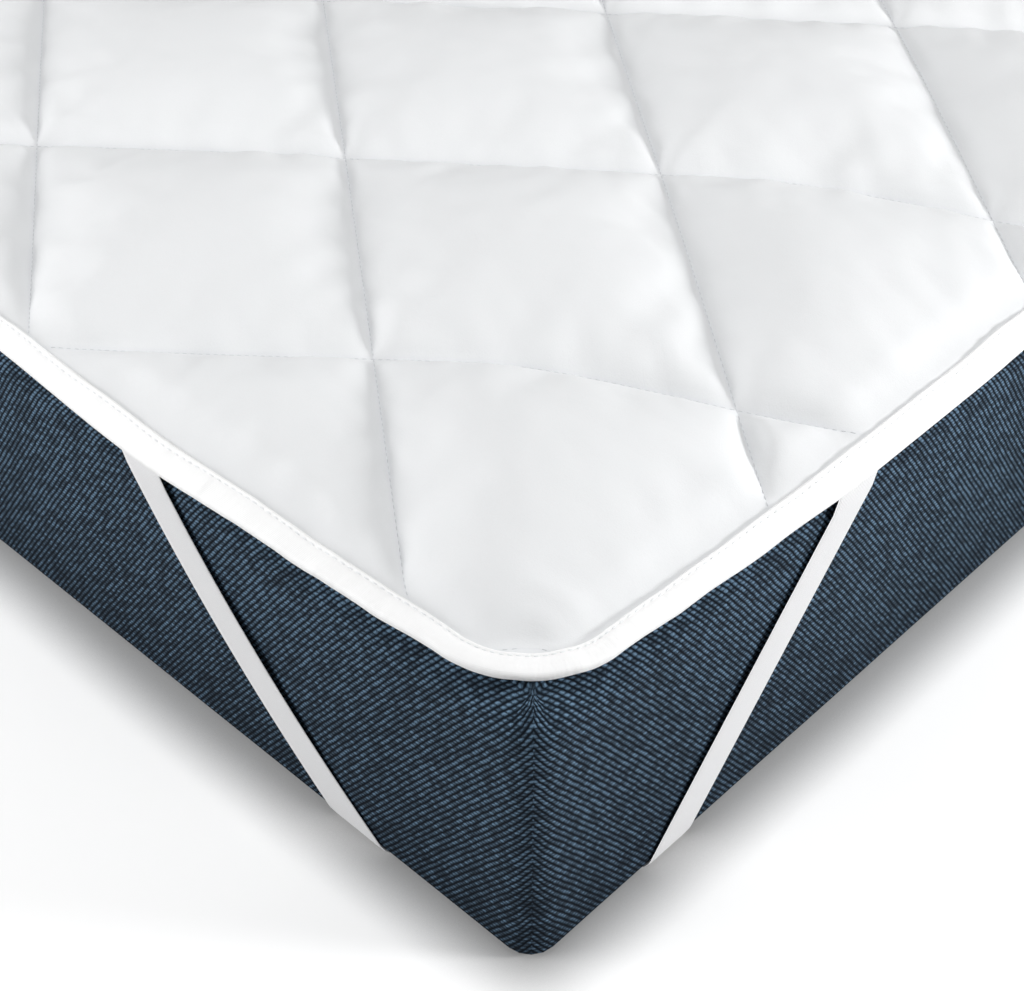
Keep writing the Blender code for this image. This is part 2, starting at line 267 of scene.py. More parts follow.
def inside_rim(plan):
    """How far plan points lie inside the binding."""
    return np.minimum(PAD_X - np.abs(plan[:, 0]), PAD_Y - np.abs(plan[:, 1])) - RIM_SHELL


def seam_height(plan):
    rise = smoothstep(inside_rim(plan) / SEAM_RISE)
    return RIM_THICKNESS + (SEAM_THICKNESS - RIM_THICKNESS) * rise


def quilt_plan(across, along):
    """Pad plan of quilting coordinates; a seam runs wherever either is a whole number.

    The seams drift outwards and forwards where the pad is pulled over a long edge.
    """
    x = DIAMOND_X + DIAMOND_HALF_WIDTH * (across - along)
    y = DIAMOND_Y + DIAMOND_HALF_LENGTH * (across + along)
    pull = 1.0 - smoothstep((PAD_X - np.abs(x)) / DRIFT_REACH)
    x = x + np.sign(x) * DRIFT_OUT * pull
    return x, y - DRIFT_FORWARD * pull


# ---------------------------------------------------------------- mesh helpers

def deselect():
    for obj in bpy.context.selected_objects:
        obj.select_set(False)


def make_active(obj):
    deselect()
    obj.select_set(True)
    bpy.context.view_layer.objects.active = obj


def link_mesh(name, mesh):
    obj = bpy.data.objects.new(name, mesh)
    bpy.context.scene.collection.objects.link(obj)
    return obj


def new_object(name, points, faces, uv=None):
    """Mesh object from points and faces; uv is one pair for each corner of each face."""
    mesh = bpy.data.meshes.new(name)
    mesh.from_pydata([tuple(p) for p in points], [], faces)
    if uv is not None:
        layer = mesh.uv_layers.new(name="cloth")
        layer.data.foreach_set("uv", np.asarray(uv, dtype=np.float32).ravel())
    mesh.update()
    return link_mesh(name, mesh)


def apply_all(obj):
    make_active(obj)
    for mod in list(obj.modifiers):
        bpy.ops.object.modifier_apply(modifier=mod.name)


def smooth_wave(seed, count, shortest, longest, span):
    """A seeded sum of waves along a length, between about -1 and 1."""
    rng = np.random.default_rng(seed)
    waves = 1.0 / rng.uniform(shortest, longest, count)
    phase = rng.uniform(0, 2 * math.pi, count)
    turns = np.round(waves * span) / span

    def at(distance):
        total = sum(np.sin(2 * math.pi * w * distance + p) for w, p in zip(turns, phase))
        return total / math.sqrt(count)
    return at


def swept_faces(rings, around, closed):
    """Quads of a tube: `rings` rows of `around` points each, its ends joined if closed."""
    faces = []
    for r in range(rings if closed else rings - 1):
        s = (r + 1) % rings
        for k in range(around):
            n = (k + 1) % around
            faces.append((r * around + k, s * around + k, s * around + n, r * around + n))
    return faces


def tip_stations(core_x, core_y, radius, spacing):
    """Points of a rounded rectangle, anticlockwise: core points, outward directions, run."""
    cores = []
    aways = []
    signs = ((1, -1), (1, 1), (-1, 1), (-1, -1))
    arc_steps = math.ceil(math.pi / 2 * radius / spacing)
    for k, (sign_x, sign_y) in enumerate(signs):
        here = np.array((sign_x * core_x, sign_y * core_y))
        after = np.array(signs[(k + 1) % 4]) * (core_x, core_y)
        for j in range(arc_steps):
            turn = math.pi / 2 * (k - 1 + j / arc_steps)
            cores.append(here)
            aways.append((math.cos(turn), math.sin(turn)))
        side_steps = math.ceil(np.linalg.norm(after - here) / spacing)
        turn = math.pi / 2 * k
        for j in range(side_steps):
            cores.append(here + (after - here) * j / side_steps)
            aways.append((math.cos(turn), math.sin(turn)))
    cores = np.array(cores)
    aways = np.array(aways)
    tips = cores + aways * radius
    steps = np.linalg.norm(np.roll(tips, -1, axis=0) - tips, axis=1)
    run = np.concatenate(((0.0,), np.cumsum(steps)))
    return cores, aways, run


def loop_uv(run, across):
    """UV corners for swept_faces: rings lie at distances `run`, points at `across`."""
    pairs = []
    for low, high in zip(run, run[1:]):
        for one, two in zip(across, across[1:]):
            pairs += [(low, one), (high, one), (high, two), (low, two)]
    return pairs


def capsules(name, starts, ends, ups, radius):
    """Short rounded threads between pairs of points, as one mesh."""
    starts, ends, ups = (np.asarray(a) for a in (starts, ends, ups))
    along = ends - starts
    length = np.linalg.norm(along, axis=1)[:, None]
    along = along / length
    side = np.cross(along, ups)
    side /= np.linalg.norm(side, axis=1)[:, None]
    top = np.cross(side, along)
    # (share of the length, share of the radius, height as a share of the radius)
    sections = ((0.0, 0.45, -0.5), (0.22, 1.0, 0.25), (0.78, 1.0, 0.25), (1.0, 0.45, -0.5))
    sides = 5
    points = []
    for part, girth, lift in sections:
        for k in range(sides):
            turn = 2 * math.pi * (k + 0.5) / sides
            points.append(starts + along * length * part
                          + side * radius * girth * math.cos(turn)
                          + top * radius * (girth * math.sin(turn) + lift))
    points = np.stack(points, axis=1).reshape(-1, 3)
    one = swept_faces(len(sections), sides, False)
    one.append(tuple(range(sides))[::-1])
    one.append(tuple(range((len(sections) - 1) * sides, len(sections) * sides)))
    each = len(sections) * sides
    faces = [tuple(each * s + i for i in face) for s in range(len(starts)) for face in one]
    obj = new_object(name, points, faces)
    tidy_normals(obj)
    smooth(obj)
    return obj


def tidy_normals(obj):
    bm = bmesh.new()
    bm.from_mesh(obj.data)
    bmesh.ops.recalc_face_normals(bm, faces=bm.faces)
    bm.to_mesh(obj.data)
    bm.free()


def smooth(obj):
    obj.data.shade_smooth()


# ---------------------------------------------------------------- quilted pad

def quilt_sheet(steps):
    """The pad's flat top cloth inside its binding, with mesh lines along the seams."""
    half_x = PAD_X - RIM_SHELL
    half_y = PAD_Y - RIM_SHELL
    margin = 3 * max(DRIFT_OUT, DRIFT_FORWARD)
    low_s = math.floor((-half_y - margin - DIAMOND_Y) / DIAMOND_HALF_LENGTH * steps)
    high_s = math.ceil((half_y + margin - DIAMOND_Y) / DIAMOND_HALF_LENGTH * steps)
    low_d = math.floor((-half_x - margin - DIAMOND_X) / DIAMOND_HALF_WIDTH * steps)
    high_d = math.ceil((half_x + margin - DIAMOND_X) / DIAMOND_HALF_WIDTH * steps)
    bm = bmesh.new()
    crease = bm.edges.layers.float.new("crease_edge")
    quilt = bm.loops.layers.uv.new("quilt")
    verts = {}

    def vert(p, q):
        if (p, q) not in verts:
            x, y = quilt_plan(np.float64(p / steps), np.float64(q / steps))
            verts[p, q] = bm.verts.new((x, y, 0.0))
        return verts[p, q]

    for s in range(low_s, high_s + 1):
        for d in range(low_d, high_d + 1):
            if (s + d) % 2:
                continue
            p, q = (s + d) // 2, (s - d) // 2
            keys = ((p, q), (p + 1, q), (p + 1, q + 1), (p, q + 1))
            face = bm.faces.new([vert(*key) for key in keys])
            for loop, (a, b) in zip(face.loops, keys):
                loop[quilt].uv = (a / steps, b / steps)
    for (p, q), one in verts.items():
        for edge in one.link_edges:
            other = edge.other_vert(one)
            if p % steps == 0 and verts.get((p, q + 1)) is other:
                edge[crease] = 1.0
            if q % steps == 0 and verts.get((p + 1, q)) is other:
                edge[crease] = 1.0
    for point, normal in (((half_x, 0, 0), (1, 0, 0)), ((-half_x, 0, 0), (-1, 0, 0)),
                          ((0, half_y, 0), (0, 1, 0)), ((0, -half_y, 0), (0, -1, 0))):
        bmesh.ops.bisect_plane(bm, geom=bm.verts[:] + bm.edges[:] + bm.faces[:],
                               plane_co=point, plane_no=normal, clear_outer=True, dist=1e-6)
    bmesh.ops.remove_doubles(bm, verts=bm.verts, dist=MERGE_DISTANCE)
    cloth = bm.loops.layers.uv.new("cloth")
    for face in bm.faces:
        for loop in face.loops:
            loop[cloth].uv = loop.vert.co.xy
    sewn = np.array([v.is_boundary or any(e[crease] > 0.5 for e in v.link_edges)
                     for v in bm.verts])
    plan = round_corner(np.array([v.co[:2] for v in bm.verts]))
    for one, (x, y) in zip(bm.verts, plan):
        one.co.x, one.co.y = x, y
    mesh = bpy.data.meshes.new("topper_pad")
    bm.to_mesh(mesh)
    bm.free()
    return link_mesh("topper_pad", mesh), sewn


def read_points(mesh):
    points = np.empty(len(mesh.vertices) * 3)
    mesh.vertices.foreach_get("co", points)
    return points.reshape(-1, 3)


def write_points(mesh, points):
    mesh.vertices.foreach_set("co", np.ascontiguousarray(points).ravel())
    mesh.update()


def puff(obj, sewn, fullness, frames):
    """Blow the stitched-down cloth up from below, as its wadding does."""
    points = read_points(obj.data)
    rng = np.random.default_rng(WADDING_SEED)
    loose = ~sewn
    points[loose, 2] = LOOSE_START + LOOSE_SPREAD * rng.random(loose.sum())
    write_points(obj.data, points)
    group = obj.vertex_groups.new(name="sewn")
    group.add([int(i) for i in np.nonzero(sewn)[0]], 1.0, "REPLACE")
    cloth = obj.modifiers.new("wadding", "CLOTH")
    for name, value in WADDING.items():
        setattr(cloth.settings, name, value)
    cloth.settings.effector_weights.gravity = 0
    cloth.settings.shrink_min = -fullness
    cloth.settings.shrink_max = -fullness
    cloth.collision_settings.use_collision = False
    cloth.collision_settings.use_self_collision = False
    for step in range(1, frames + 1):
        bpy.context.scene.frame_set(step)
    apply_all(obj)
    bpy.context.scene.frame_set(1)


def boundary_loop(bm):
    """Vertices once round the mesh's open edge, anticlockwise."""
    start = next(e for e in bm.edges if e.is_boundary)
    loop = [start.verts[0], start.verts[1]]
    while True:
        at = loop[-1]
        ahead = [e.other_vert(at) for e in at.link_edges
                 if e.is_boundary and e.other_vert(at) is not loop[-2]]
        if ahead[0] is loop[0]:
            break
        loop.append(ahead[0])
    area = sum(a.co.x * b.co.y - b.co.x * a.co.y for a, b in zip(loop, loop[1:] + loop[:1]))
    return loop if area > 0 else loop[::-1]


def close_pad(obj):
    """Lay the puffed cloth on the mattress and add its rim and underside."""
    bm = bmesh.new()
    bm.from_mesh(obj.data)
    loop = boundary_loop(bm)
    for vert in loop:
        vert.co.z = 0.0
    points = np.array([v.co for v in bm.verts])
    plan = points[:, :2]
    edge = np.array([v.co[:2] for v in loop])
    top = place(plan, seam_height(plan) + np.maximum(points[:, 2], 0.0))
    for vert, spot in zip(bm.verts, top):
        vert.co = spot
    cloth = bm.loops.layers.uv["cloth"]
    core, away, _ = rim_frame(edge)
    # rings over the rim, round its edge and back in below, as (inset, height)
    rows = [(inset, RIM_THICKNESS) for inset in (0.011, 0.007, 0.003, 0.001)]
    rows += [(0.0, RIM_THICKNESS * 0.75), (0.0, RIM_THICKNESS * 0.25)]
    rows += [(inset, 0.0) for inset in (0.001, 0.004, 0.008, 0.013, 0.018, 0.023, 0.028, 0.034)]
    previous = loop
    previous_uv = edge
    for inset, height in rows:
        flat = core + away * (PAD_CORNER_R - inset)
        spots = place(flat, np.full(len(flat), height))
        ring = [bm.verts.new(p) for p in spots]
        for k in range(len(ring)):
            n = (k + 1) % len(ring)
            face = bm.faces.new((previous[k], ring[k], ring[n], previous[n]))
            values = (previous_uv[k], flat[k], flat[n], previous_uv[n])
            for corner, value in zip(face.loops, values):
                corner[cloth].uv = value
        previous = ring
        previous_uv = flat
    under = bm.faces.new(previous[::-1])
    for corner in under.loops:
        corner[cloth].uv = corner.vert.co.xy
    bmesh.ops.triangulate(bm, faces=[under])
    bmesh.ops.recalc_face_normals(bm, faces=bm.faces)
    bm.to_mesh(obj.data)
    bm.free()


def build_pad(settings):
    pad, sewn = quilt_sheet(settings.cloth_steps)
    puff(pad, sewn, settings.fullness, settings.settle_frames)
    finer = pad.modifiers.new("finer", "SUBSURF")
    finer.levels = 1
    finer.render_levels = 1
    finer.boundary_smooth = "PRESERVE_CORNERS"
    apply_all(pad)
    points = read_points(pad.data)
    high = max(points[:, 2].max(), 1e-6)
    points[:, 2] = PILLOW_CROWN * np.clip(points[:, 2] / high, 0, 1) ** settings.flank_steepness
    _, _, out = rim_frame(points[:, :2])
    points[:, 2] *= smoothstep((PAD_CORNER_R - RIM_SHELL - out) / RIM_EASE)
    write_points(pad.data, points)
    close_pad(pad)
    smooth(pad)
    crease = pad.data.attributes["crease_edge"]
    values = np.empty(len(pad.data.edges), dtype=np.float32)
    crease.data.foreach_get("value", values)
    sharp = pad.data.attributes.new("sharp_edge", "BOOLEAN", "EDGE")
    sharp.data.foreach_set("value", values > 0.5)
    return pad


def build_quilt_stitches(settings):
    """Thread showing along every seam, one capsule for each stitch."""
    starts, ends, ups = [], [], []
    limit = np.array((PAD_X, PAD_Y)) - RIM_SHELL - STITCH_MARGIN
    step = settings.quilt_stitch / math.hypot(DIAMOND_HALF_WIDTH, DIAMOND_HALF_LENGTH)
    span = math.ceil(HALF_X / DIAMOND_HALF_WIDTH + 2 * HALF_Y / DIAMOND_HALF_LENGTH)
    along = np.arange(-span, span, step)
    tip = along + step * QUILT_STITCH_SHARE
    rise = settings.thread * QUILT_STITCH_RISE
    for seam in range(-span, span + 1):
        fixed = np.full(len(along), float(seam))
        for lines in (((along, fixed), (tip, fixed)), ((fixed, along), (fixed, tip))):
            first, last = (np.column_stack(quilt_plan(*line)) for line in lines)
            inside = np.all((np.abs(first) < limit) & (np.abs(last) < limit), axis=1)
            if not inside.any():
                continue
            first, last = round_corner(first[inside]), round_corner(last[inside])
            level = seam_height(first)
            starts.append(place(first, level + rise))
            ends.append(place(last, seam_height(last) + rise))
            ups.append(place(first, level + UP_STEP) - place(first, level))
    return capsules("quilting_stitches", np.concatenate(starts), np.concatenate(ends),
                    np.concatenate(ups), settings.thread * QUILT_THREAD)


# ---------------------------------------------------------------- binding

def tape_section():
    """Closed section of the folded tape: (inset, height, beyond), top lip first."""
    near = TAPE_GAP
    far = TAPE_GAP + TAPE_THICKNESS
    top = RIM_THICKNESS
    # the rolled lip, the dip under the stitches and the low swell beyond them
    rows = [(BINDING_WIDTH, top + near, 0.0), (BINDING_WIDTH + 0.0004, top + near + 0.0005, 0.0)]
    for inset, rise in ((BINDING_WIDTH, 0.0001), (0.0137, 0.0003), (0.0128, 0.0002),
                        (TAPE_STITCH_INSET, -0.0003), (0.0114, 0.0), (0.0095, 0.0003),
                        (0.0065, 0.0004), (0.0030, 0.0)):
        rows.append((inset, top + far + rise, 0.0))
    for k in range(NOSE_STEPS):
        turn = math.pi * (k + 0.5) / NOSE_STEPS
        rows.append((0.0, top / 2 + (top / 2 + far) * math.cos(turn),
                     (far + NOSE_REACH) * math.sin(turn)))
    rows += [(inset, -far, 0.0) for inset in (0.0030, 0.0095, 0.0137, BINDING_WIDTH)]
    rows += [(BINDING_WIDTH, -near, 0.0), (0.0075, -near, 0.0)]
    rows += [(0.0, -near, near), (0.0, top + near, near), (0.0075, top + near, 0.0)]
    return rows


def tape_waves(settings, span):
    """How far the tape's outside swells and its edges stray, along its length."""
    swell = smooth_wave(*SWELL_WAVES, span)
    stray = smooth_wave(*WANDER_WAVES, span)

    def swelling(distance):
        return settings.tape_pucker * np.clip(0.5 + 0.5 * swell(distance), 0, 1.3)

    def straying(distance):
        return (settings.tape_wander * stray(distance))[:, None]
    return swelling, straying


def build_binding(settings):
    core, away, run = tip_stations(CORE_X, CORE_Y, PAD_CORNER_R, TAPE_SPACING)
    swelling, straying = tape_waves(settings, run[-1])
    section = tape_section()
    rows = []
    for k, (inset, height, beyond) in enumerate(section):
        flat = core + away * (PAD_CORNER_R - inset)
        lift = np.full(len(flat), height)
        if k in TAPE_OUTSIDE:
            lift += swelling(run[:-1])
            if inset > 0.0:
                flat = flat + away * straying(run[:-1])
        rows.append(place(flat, lift, beyond))
    points = np.stack(rows, axis=1).reshape(-1, 3)
    lengths = [0.0]
    middle = [np.array((-inset + beyond, height)) for inset, height, beyond in section]
    for one, two in zip(middle, middle[1:] + middle[:1]):
        lengths.append(lengths[-1] + float(np.linalg.norm(two - one)))
    faces = swept_faces(len(core), len(section), True)
    obj = new_object("binding_edge", points, faces, loop_uv(run, lengths))
    tidy_normals(obj)
    smooth(obj)
    return obj


def build_binding_stitches(settings):
    """One row of stitches along the tape's inner edge."""
    core, away, run = tip_stations(CORE_X, CORE_Y, PAD_CORNER_R, TAPE_STITCH_SPACING)
    span = run[-1]
    swelling, straying = tape_waves(settings, span)
    closed_core = np.concatenate((core, core[:1]))
    closed_away = np.concatenate((away, away[:1]))

    def at(distance, height):
        spot, aim = (np.column_stack([np.interp(distance, run, row[:, i]) for i in (0, 1)])
                     for row in (closed_core, closed_away))
        aim /= np.linalg.norm(aim, axis=1)[:, None]
        flat = spot + aim * (PAD_CORNER_R - TAPE_STITCH_INSET)
        flat = flat + aim * straying(distance)
        return place(flat, height + swelling(distance))

    count = round(span / settings.tape_stitch)
    begin = np.arange(count) * span / count
    finish = np.minimum(begin + settings.tape_stitch * TAPE_STITCH_SHARE, span - 1e-6)
    level = RIM_THICKNESS + TAPE_GAP + TAPE_THICKNESS - TAPE_STITCH_SINK
    low = at(begin, level)
    up = at(begin, level + UP_STEP) - low
    return capsules("binding_stitches", low, at(finish, level), up,
                    settings.thread * TAPE_THREAD)


# ---------------------------------------------------------------- straps

def foot_profile(side_offset, floor_offset):
    """Quarter of an ellipse round the mattress's foot: (turn, outward, up) from the side."""
    points = []
    for k in range(FOOT_STEPS + 1):
        turn = math.pi / 2 * k / FOOT_STEPS
        points.append((turn, -MATTRESS_FOOT_R + (MATTRESS_FOOT_R + side_offset) * math.sin(turn),
                       MATTRESS_FOOT_R - (MATTRESS_FOOT_R + floor_offset) * math.cos(turn)))
    return points


def leg_line(side, height):
    """Distance from the corner and slope of a strap's leg at a height on a side."""
    if side == "long":
        spread = LONG_LEG_TOP - LONG_LEG_FOOT
        return LONG_LEG_FOOT + spread * height / LEG_TOP_Z, spread / LEG_TOP_Z
    low, high = 0.0, 1.0
    for _ in range(40):
        mid = (low + high) / 2
        if 2 * (1 - mid) * mid * SHORT_LEG_BEND[1] + mid * mid * LEG_TOP_Z < height:
            low = mid
        else:
            high = mid
    at = (1 - low) ** 2 * SHORT_LEG_FOOT + 2 * (1 - low) * low * SHORT_LEG_BEND[0]
    at += low * low * SHORT_LEG_TOP
    d_at = 2 * (1 - low) * (SHORT_LEG_BEND[0] - SHORT_LEG_FOOT)
    d_at += 2 * low * (SHORT_LEG_TOP - SHORT_LEG_BEND[0])
    d_up = 2 * (1 - low) * SHORT_LEG_BEND[1] + 2 * low * (LEG_TOP_Z - SHORT_LEG_BEND[1])
    return at, d_at / d_up


def leg_path(side):
    """Middle of one leg from floor to tuck: (distance from corner, slope, out, up, tilt)."""
    half = STRAP_THICKNESS / 2
    side_mid = STRAP_SIDE_GAP + half
    rows = []
    for turn, out, up in foot_profile(side_mid, -(STRAP_FLOOR_GAP + half)):
        level = max(0.0, MATTRESS_FOOT_R * (1 - math.cos(turn)))
        rows.append((*leg_line(side, level), out, up, math.pi / 2 - turn))
    for k in range(1, LEG_STEPS + 1):
        part = k / LEG_STEPS
        level = MATTRESS_FOOT_R + (STRAP_TURN_Z - MATTRESS_FOOT_R) * part
        rows.append((*leg_line(side, level), side_mid + STRAP_FAN_OUT * part, level, 0.0))
    table, anchor = {"short": (SHORT_SIDE_RIM, SHORT_LEG_TOP),
                     "long": (LONG_SIDE_RIM, LONG_LEG_TOP)}[side]
    angle, reach = (float(a) for a in rim_lookup(table, np.float64(anchor)))
    below = TAPE_GAP + TAPE_THICKNESS + TAPE_GAP + half
    for back in (0.0, STRAP_TUCK):
        run, drop, _ = fold_path(FOLD_LENGTH + reach - back, angle)
        out = PAD_X - HALF_X - FOLD_LENGTH + run - below * math.sin(angle)
        up = MATTRESS_HEIGHT + PAD_LIFT + TAPE_LIFT - drop - below * math.cos(angle)
        rows.append((*leg_line(side, up), out, up, angle - math.pi / 2))
    return rows


def build_strap(name, sign_x, sign_y):
    """A flat elastic band down one side, under the corner and up the other."""
    across = np.array((-1.0, -0.96, -0.75, -0.25, 0.25, 0.75, 0.96, 1.0))
    half = STRAP_THICKNESS / 2
    short = [("short", *row) for row in leg_path("short")[::-1]]
    long = [("long", *row) for row in leg_path("long")]
    rings = []
    for side, at, slope, out, up, tilt in short + long:
        spread = STRAP_WIDTH / 2 * math.hypot(1.0, slope)
        flip = -1.0 if side == "short" else 1.0
        ring = []
        for face in (1.0, -1.0):
            for a in (across if face > 0 else across[::-1]):
                edge = math.sqrt(max(0.0, 1.0 - abs(a) ** 12))
                shift = face * half * edge
                t = at + a * spread * flip
                o, z = out + math.cos(tilt) * shift, up - math.sin(tilt) * shift
                if side == "short":
                    ring.append((sign_x * (HALF_X - t), sign_y * (HALF_Y + o), z))
                else:
                    ring.append((sign_x * (HALF_X + o), sign_y * (HALF_Y - t), z))
        rings.append(ring)
    rings = np.array(rings)
    middle = rings.mean(axis=1)
    run = np.concatenate(((0.0,), np.cumsum(np.linalg.norm(np.diff(middle, axis=0), axis=1))))
    around = rings.shape[1]
    width = [(a + 1) / 2 * STRAP_WIDTH for a in across]
    faces = swept_faces(len(rings), around, False)
    uv = loop_uv(run, width + width[::-1] + width[:1])
    for r, order in ((0, 1), (len(rings) - 1, -1)):
        faces.append(tuple(r * around + k for k in range(around))[::order])
        uv += [(run[r], 0.0)] * around
    obj = new_object(name, rings.reshape(-1, 3), faces, uv)
    tidy_normals(obj)
    smooth_by_angle(obj, STRAP_EDGE_ANGLE)
    return obj, run[-1]


def smooth_by_angle(obj, degrees):
    make_active(obj)
    bpy.ops.object.shade_smooth_by_angle(angle=math.radians(degrees))


# ---------------------------------------------------------------- mattress

def side_profile():
    """Rows up the mattress as (inset from its side, height), and how many make its foot."""
    # the underside stands clear of the floor up to the foot
    rows = [(0.160, FOOT_RAISE), (0.090, FOOT_RAISE), (0.045, FOOT_RAISE), (0.022, 0.0006)]
    for k in range(7):
        turn = math.pi / 2 * k / 6
        rows.append((MATTRESS_FOOT_R * (1 - math.sin(turn)), MATTRESS_FOOT_R * (1 - math.cos(turn))))
    foot_rows = len(rows)
    shoulder = MATTRESS_HEIGHT - MATTRESS_TOP_R
    for k in range(1, 21):
        rows.append((0.0, MATTRESS_FOOT_R + (shoulder - MATTRESS_FOOT_R) * k / 20))
    for k in range(1, 8):
        turn = math.pi / 2 * k / 7
        rows.append((MATTRESS_TOP_R * (1 - math.cos(turn)), shoulder + MATTRESS_TOP_R * math.sin(turn)))
    rows += [(inset, MATTRESS_HEIGHT) for inset in (0.045, 0.080, 0.160)]
    return np.array(rows), foot_rows


def build_mattress(settings):
    core_x = HALF_X - MATTRESS_CORNER_R
    core_y = HALF_Y - MATTRESS_CORNER_R
    core, away, run = tip_stations(core_x, core_y, MATTRESS_CORNER_R, MATTRESS_SPACING)
    tips = core + away * MATTRESS_CORNER_R
    on_short = np.abs(away[:, 1]) > np.abs(away[:, 0])
    from_corner = np.where(on_short, HALF_X - np.abs(tips[:, 0]), HALF_Y - np.abs(tips[:, 1]))
    # the strap's foot lifts the cover's lower edge where it passes below
    foot = np.where(on_short, SHORT_LEG_FOOT, LONG_LEG_FOOT)
    lifted = 1.0 - smoothstep((np.abs(from_corner - foot) - LIFT_HALF_WIDTH) / LIFT_RUN)
    dents = smooth_wave(*DENT_WAVES, run[-1])(run[:-1])
    profile, foot_rows = side_profile()
    rows = []
    for inset, height in profile:
        radius = max(MATTRESS_CORNER_R - inset, MATTRESS_LEAST_R)
        scale_x = (HALF_X - inset - radius) / core_x
        scale_y = (HALF_Y - inset - radius) / core_y
        spot = core * (scale_x, scale_y) + away * radius
        level = np.full(len(core), height)
        if height < MATTRESS_FOOT_R:
            level = np.maximum(level, FOOT_RAISE * lifted + height * (1.0 - lifted))
        sway = math.sin(math.pi * min(1.0, height / (MATTRESS_HEIGHT - MATTRESS_TOP_R)))
        spot = spot - away * (settings.side_slack * sway * (0.5 + 0.5 * dents))[:, None]
        rows.append(np.column_stack((spot, level)))
    around = len(core)
    rise = np.concatenate(((0.0,), np.cumsum(np.linalg.norm(np.diff(profile, axis=0), axis=1))))
    rise = rise - rise[foot_rows - 1] + MATTRESS_FOOT_R
    faces, uv = [], []
    marks = cover_marks(away, tips)
    for r in range(len(rows) - 1):
        low, high = r * around, (r + 1) * around
        for k in range(around):
            n = (k + 1) % around
            faces.append((low + k, low + n, high + n, high + k))
            one, two = marks[k]
            uv += [(one, rise[r]), (two, rise[r]), (two, rise[r + 1]), (one, rise[r + 1])]
    last = (len(rows) - 1) * around
    faces.append(tuple(range(around))[::-1])
    faces.append(tuple(last + k for k in range(around)))
    uv += [tuple(tip) for tip in tips[::-1]] + [tuple(tip) for tip in tips]
    obj = new_object("mattress_body", np.concatenate(rows), faces, uv)
    tidy_normals(obj)
    smooth_by_angle(obj, MATTRESS_EDGE_ANGLE)
    return obj


def cover_marks(away, tips):
    """Where the twill's pattern stands at both ends of each face round the mattress.

    It is mirrored at every upright corner.
    """
    steps = np.linalg.norm(np.roll(tips, -1, axis=0) - tips, axis=1)
    quarter = (np.arctan2(away[:, 1], away[:, 0]) + math.pi / 4) / (math.pi / 2)
    side = np.floor(np.round(quarter, 6)).astype(int) % 4
    start = int(np.argmax((side == 0) & (np.roll(side, 1) == 3)))
    marks = [None] * len(tips)
    here, way = TWILL_SIDES[0]
    for j in range(len(tips)):
        k = (start + j) % len(tips)
        if side[k] != side[k - 1]:
            here, way = TWILL_SIDES[side[k]]
        marks[k] = (here, here + way * steps[k])
        here = marks[k][1]
    return marks


# ---------------------------------------------------------------- materials

NUMBER = "NodeSocketFloat"
COLOR = "NodeSocketColor"
VECTOR = "NodeSocketVector"
SHEEN_ROUGHNESS = 0.4
# painted shade: grey that darkens the top cloth next to its quilting seams
SEAM_PAINTED_SHADE = (0.62, 0.65, 0.70, 1)
# painted shade: grey that darkens the elastic in the valleys between its cords
RIB_PAINTED_SHADE = (0.35, 0.36, 0.38, 1)
RIB_PITCH = 0.0014


class Wiring:
    """Adds and joins nodes in one tree."""

    def __init__(self, tree):
        self.tree = tree
        self.shader = None

    def give(self, socket, value):
        """Set a socket, or join another one to it."""
        if isinstance(value, bpy.types.NodeSocket):
            self.tree.links.new(value, socket)
        else:
            socket.default_value = value

    def add(self, kind, inputs=None, **options):
        node = self.tree.nodes.new(kind)
        for key, value in options.items():
            setattr(node, key, value)
        for key, value in (inputs or {}).items():
            self.give(node.inputs[key], value)
        return node

    def feed(self, name, value):
        """Join a value to the material's shader."""
        self.give(self.shader.inputs[name], value)

    def math(self, operation, *values):
        return self.add("ShaderNodeMath", dict(enumerate(values)), operation=operation).outputs[0]

    def fit(self, value, low, high, to_low, to_high):
        node = self.add("ShaderNodeMapRange", {0: value, 1: low, 2: high, 3: to_low, 4: to_high})
        return node.outputs[0]

    def swing(self, value, size, middle):
        """Carry a noise, which lies about one half, to a swing of a size about a middle."""
        return self.math("MULTIPLY_ADD", self.math("SUBTRACT", value, 0.5), size, middle)

    def uv(self, name="cloth"):
        return self.add("ShaderNodeUVMap", uv_map=name).outputs[0]

    def on_object(self):
        return self.add("ShaderNodeTexCoord").outputs["Object"]

    def split(self, vector):
        return self.add("ShaderNodeSeparateXYZ", {0: vector}).outputs

    def vector(self, x, y, z):
        return self.add("ShaderNodeCombineXYZ", {0: x, 1: y, 2: z}).outputs[0]

    def grey(self, value):
        return self.add("ShaderNodeCombineColor", {0: value, 1: value, 2: value}).outputs[0]

    def stretch(self, vector, scale):
        return self.add("ShaderNodeMapping", {"Vector": vector, "Scale": scale}).outputs[0]

    def noise(self, vector, scale, detail=2.0, roughness=0.5):
        node = self.add("ShaderNodeTexNoise", {"Vector": vector, "Scale": scale, "Detail": detail,
                                               "Roughness": roughness})
        return node.outputs["Fac"]

    def blend(self, factor, one, two, kind="MIX"):
        node = self.add("ShaderNodeMix", {0: factor, 6: one, 7: two}, data_type="RGBA",
                        blend_type=kind)
        return node.outputs[2]

    def bump(self, height, strength, distance, over=None):
        inputs = {"Strength": strength, "Distance": distance, "Height": height}
        if over is not None:
            inputs["Normal"] = over
        return self.add("ShaderNodeBump", inputs).outputs[0]

    def group(self, name, inputs):
        node = self.add("ShaderNodeGroup", inputs, node_tree=bpy.data.node_groups[name])
        return node.outputs

    def mottle(self, vector, color, drift, fibre, fibre_scale):
        """A colour with the uneven tone of cloth, and the height of its fibres."""
        given = {"Vector": vector, "Color": (*color, 1), "Drift": drift, "Fibre": fibre,
                 "Fibre Scale": fibre_scale}
        node = self.group("mottled_cloth", given)
        return node["Color"], node["Fibre Height"]


